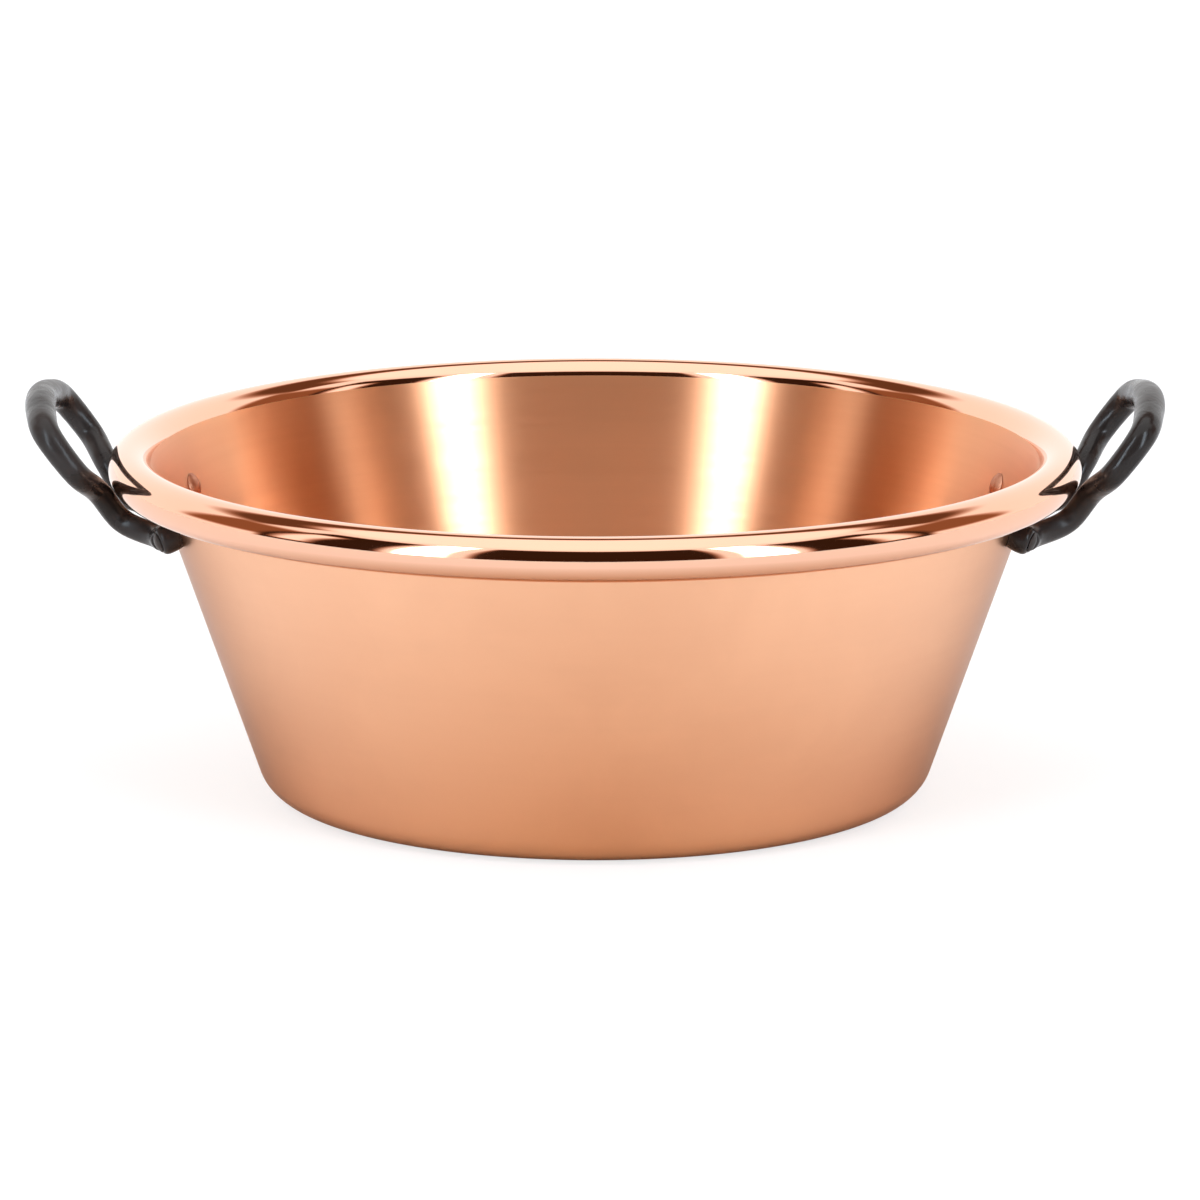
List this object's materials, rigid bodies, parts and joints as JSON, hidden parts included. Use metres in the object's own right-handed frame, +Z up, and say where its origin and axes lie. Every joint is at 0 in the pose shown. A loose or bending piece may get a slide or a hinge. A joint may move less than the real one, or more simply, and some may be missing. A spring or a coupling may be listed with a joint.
{
  "type": "preserving pan",
  "caption": "Wide, shallow-walled copper preserving pan with leaning sides and a rolled rim, lifted by cast loop handles riveted under the rim",
  "frame": {"origin": "Centre of the underside of the flat base, on the surface the pan stands on", "axes": "+X through the middle of the right handle, +Y to the back, +Z up out of the mouth of the bowl"},
  "size_m": [0.444, 0.38, 0.161],
  "materials": {
    "copper_sheet": "satin copper sheet, turned marks round the inside of the wall, brighter on the rolled rim",
    "cast_metal": "smooth black cast iron with a soft gloss",
    "copper_rivet": "plain hammered copper, slightly duller than the bowl"
  },
  "bodies": {
    "root": {"bowl": "copper_sheet", "left_handle": "cast_metal", "right_handle": "cast_metal", "left_front_rivet": "copper_rivet", "left_back_rivet": "copper_rivet", "right_front_rivet": "copper_rivet", "right_back_rivet": "copper_rivet"}
  },
  "joints": []
}
